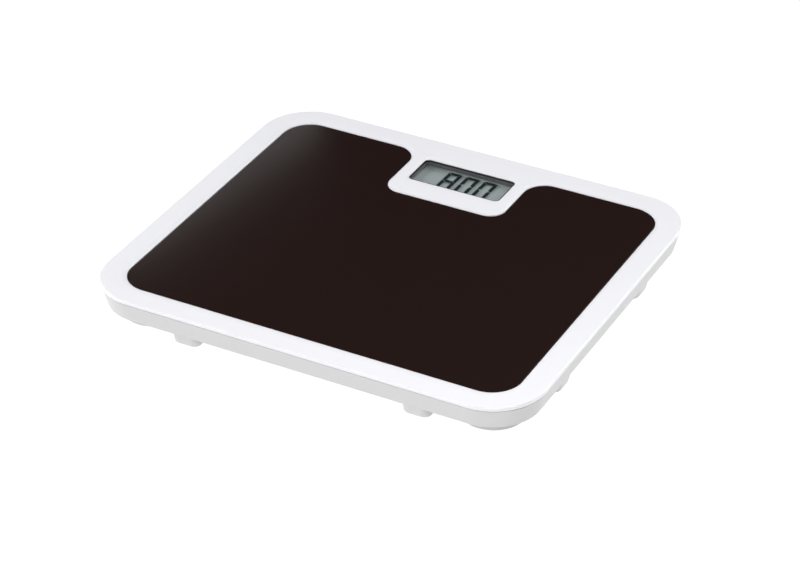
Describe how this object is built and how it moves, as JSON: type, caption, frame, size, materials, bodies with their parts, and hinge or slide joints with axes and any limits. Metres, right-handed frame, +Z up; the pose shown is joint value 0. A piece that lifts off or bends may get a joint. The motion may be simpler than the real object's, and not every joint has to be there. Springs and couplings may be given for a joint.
{
  "type": "digital floor scale",
  "caption": "Low white floor scale: rounded case, dark sunk tread mat, display window in an island at the back, round load-cell feet and short stop posts below.",
  "frame": {"origin": "on the floor, under the middle of the case", "axes": "+X to the user's right along the long side, +Y towards the display at the back, +Z up"},
  "size_m": [0.35, 0.3, 0.0295],
  "materials": {
    "white_cover": "satin white moulding",
    "dark_mat": "matt dark brown-black sheet",
    "bezel_black": "fine matt black moulding",
    "clear_lens": "clear, polished",
    "lcd_glass": "grey-green reflective display",
    "holder_white": "matt",
    "strip_pink": "matt elastomer",
    "board_green": "solder mask",
    "epoxy_black": "glossy epoxy cap",
    "can_aluminium": "printed can",
    "crystal_steel": "bright can",
    "switch_black": "matt",
    "plunger_grey": "matt",
    "button_grey": "matt",
    "white_base": "fine matt white moulding",
    "galvanised": "galvanised sheet",
    "battery_jacket": "plain printed jacket",
    "nickel": "nickel plated",
    "wire_red": "smooth insulation",
    "wire_black": "smooth insulation",
    "zinc_screw": "zinc plated",
    "spring_steel": "ground spring steel",
    "gauge_coating": "cured silicone coating",
    "holder_grey": "matt",
    "lead_grey": "smooth sleeve",
    "white_disc": "fine matt white moulding",
    "pad_rubber": "matt"
  },
  "bodies": {
    "case": {"base_shell": "white_base", "battery_1": "battery_jacket", "battery_2": "battery_jacket", "battery_3": "battery_jacket", "battery_4": "battery_jacket", "battery_wire_black": "wire_black", "battery_wire_red": "wire_red", "board_capacitor": "can_aluminium", "case_screw_1": "zinc_screw", "case_screw_2": "zinc_screw", "case_screw_3": "zinc_screw", "case_screw_4": "zinc_screw", "case_screw_5": "zinc_screw", "case_screw_6": "zinc_screw", "cell_holder_back_left": "holder_grey", "cell_holder_back_right": "holder_grey", "cell_holder_front_left": "holder_grey", "cell_holder_front_right": "holder_grey", "cell_lead_back_left": "lead_grey", "cell_lead_back_right": "lead_grey", "cell_lead_front_left": "lead_grey", "cell_lead_front_right": "lead_grey", "contact_bridge_1": "nickel", "contact_bridge_2": "nickel", "contact_bridge_3": "nickel", "contact_negative": "nickel", "contact_positive": "nickel", "controller_chip": "epoxy_black", "display_bezel": "bezel_black", "display_lens": "clear_lens", "lcd_connector_back": "strip_pink", "lcd_connector_front": "strip_pink", "lcd_holder": "holder_white", "lcd_panel": "lcd_glass", "load_cell_back_left": "spring_steel", "load_cell_back_right": "spring_steel", "load_cell_front_left": "spring_steel", "load_cell_front_right": "spring_steel", "main_board": "board_green", "stiffener_plate": "galvanised", "strain_gauge_back_left": "gauge_coating", "strain_gauge_back_right": "gauge_coating", "strain_gauge_front_left": "gauge_coating", "strain_gauge_front_right": "gauge_coating", "timing_crystal": "crystal_steel", "top_cover": "white_cover", "tread_mat": "dark_mat", "unit_switch": "switch_black"},
    "door": {"battery_door": "white_base"},
    "button": {"unit_button": "button_grey", "switch_plunger": "plunger_grey"},
    "foot_front_left": {"foot_disc_front_left": "white_disc", "foot_pad_front_left": "pad_rubber"},
    "foot_front_right": {"foot_disc_front_right": "white_disc", "foot_pad_front_right": "pad_rubber"},
    "foot_back_left": {"foot_disc_back_left": "white_disc", "foot_pad_back_left": "pad_rubber"},
    "foot_back_right": {"foot_disc_back_right": "white_disc", "foot_pad_back_right": "pad_rubber"}
  },
  "joints": [
    {"name": "foot_front_left_load", "type": "slide", "parent": "case", "child": "foot_front_left", "axis": [0, 0, 1], "range_m": [0, 0.0008], "stiffness_N_per_m": 4000, "springref_m": -0.003, "deforming": ["load_cell_front_left"]},
    {"name": "foot_front_right_load", "type": "slide", "parent": "case", "child": "foot_front_right", "axis": [0, 0, 1], "range_m": [0, 0.0008], "stiffness_N_per_m": 4000, "springref_m": -0.003, "deforming": ["load_cell_front_right"]},
    {"name": "foot_back_left_load", "type": "slide", "parent": "case", "child": "foot_back_left", "axis": [0, 0, 1], "range_m": [0, 0.0008], "stiffness_N_per_m": 4000, "springref_m": -0.003, "deforming": ["load_cell_back_left"]},
    {"name": "foot_back_right_load", "type": "slide", "parent": "case", "child": "foot_back_right", "axis": [0, 0, 1], "range_m": [0, 0.0008], "stiffness_N_per_m": 4000, "springref_m": -0.003, "deforming": ["load_cell_back_right"]},
    {"name": "battery_door_hinge", "type": "hinge", "parent": "case", "child": "door", "pos_m": [0, 0.0138, 0.01], "axis": [-1, 0, 0], "range_deg": [0, 75]},
    {"name": "unit_button_press", "type": "slide", "parent": "case", "child": "button", "axis": [0, 0, 1], "range_m": [0, 0.0005], "stiffness_N_per_m": 200, "springref_m": -0.001}
  ]
}
